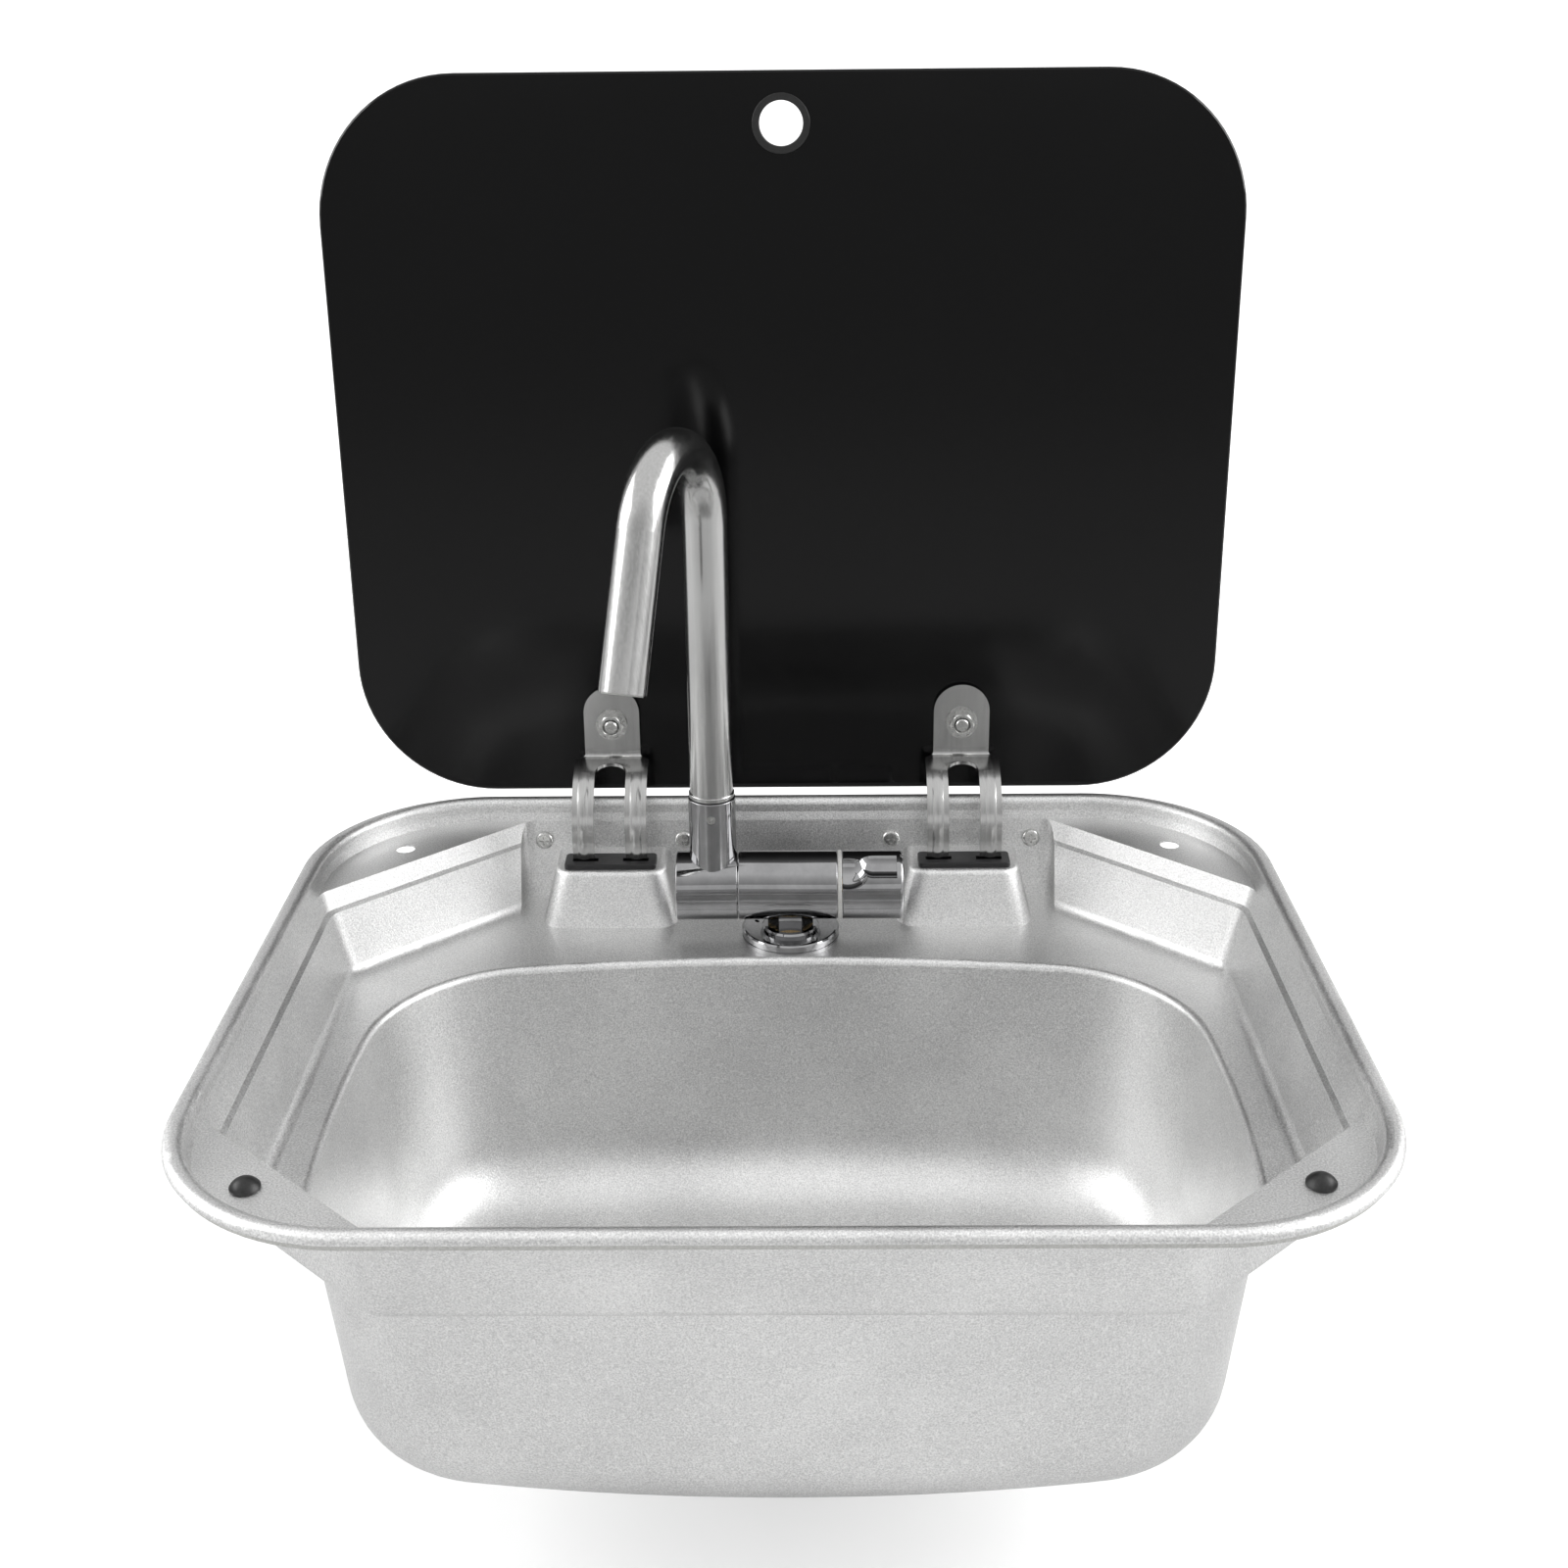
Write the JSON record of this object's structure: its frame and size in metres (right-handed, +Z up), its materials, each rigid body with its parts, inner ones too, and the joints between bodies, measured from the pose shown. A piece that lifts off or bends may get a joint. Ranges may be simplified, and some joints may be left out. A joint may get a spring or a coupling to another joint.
{
  "type": "sink with lid and tap",
  "caption": "Drop-in caravan sink with a hinged black glass lid, a lift-out strainer and a tap whose spout swivels and folds down under the lid.",
  "frame": {"origin": "middle of the rim's outline, on the worktop's surface, where the foam seal rests", "axes": "X from left to right, Y from the front to the hinged back, Z up"},
  "size_m": [0.42, 0.3689, 0.5281],
  "materials": {
    "satin_steel": "satin with a fine grain",
    "brushed_steel": "fine lengthwise brushing",
    "plain_steel": "bright plated",
    "chrome": "mirror bright",
    "brass": "plain turned",
    "black_glass": "opaque black, glossy",
    "black_rubber": "soft, faint sheen",
    "black_plastic": "moulded, matte",
    "white_plastic": "moulded, matte",
    "pale_foam": "closed-cell foam"
  },
  "bodies": {
    "basin": {"sink_basin": "satin_steel", "rim_seal": "pale_foam", "corner_bumpers": "black_rubber", "slot_bush_left": "black_plastic", "slot_bush_right": "black_plastic", "hinge_guide_left": "black_plastic", "hinge_guide_right": "black_plastic", "guide_pins": "plain_steel", "hinge_screws": "plain_steel", "tap_flange": "chrome", "tap_body": "chrome", "handle_ring": "white_plastic", "tap_shank": "brass", "deck_washer": "black_rubber", "deck_nut": "brass", "swivel_o_rings": "black_rubber", "tap_cartridge": "white_plastic", "waste_flange": "satin_steel", "waste_gasket": "black_rubber", "waste_nut": "black_plastic", "waste_tail": "black_plastic"},
    "lid": {"glass_lid": "black_glass", "lid_grommet": "black_rubber", "hinge_arm_left": "brushed_steel", "hinge_arm_right": "brushed_steel", "arm_pads": "black_rubber", "lid_bolts": "plain_steel", "bolt_gaskets": "black_rubber", "lid_nuts": "plain_steel"},
    "tap_swivel": {"swivel_body": "chrome", "grub_screw": "plain_steel"},
    "spout": {"spout_tube": "brushed_steel", "spout_o_rings": "black_rubber", "aerator": "white_plastic"},
    "handle": {"tap_handle": "chrome", "handle_screw": "plain_steel", "handle_end_cap": "chrome", "cartridge_spindle": "brass"},
    "strainer": {"waste_strainer": "satin_steel"}
  },
  "joints": [
    {"name": "lid_hinge", "type": "hinge", "parent": "basin", "child": "lid", "pos_m": [0, 0.17, -0.0053], "axis": [1, 0, 0], "range_deg": [0, 92.7]},
    {"name": "tap_fold", "type": "hinge", "parent": "basin", "child": "tap_swivel", "pos_m": [-0.0326, 0.1195, -0.0162], "axis": [1, 0, 0], "range_deg": [0, 90]},
    {"name": "spout_swivel", "type": "hinge", "parent": "tap_swivel", "child": "spout", "pos_m": [-0.0326, 0.1195, 0.0272], "axis": [0, 0, 1], "range_deg": [-72, 108]},
    {"name": "handle_turn", "type": "hinge", "parent": "basin", "child": "handle", "pos_m": [0.038, 0.1195, -0.0162], "axis": [1, 0, 0], "range_deg": [0, 90]},
    {"name": "strainer_lift", "type": "slide", "parent": "basin", "child": "strainer", "axis": [0, 0, 1], "range_m": [0, 0.03]}
  ],
  "couplings": [
    {"joint": "tap_fold", "follows": "lid_hinge", "ratio": 0.97087}
  ]
}
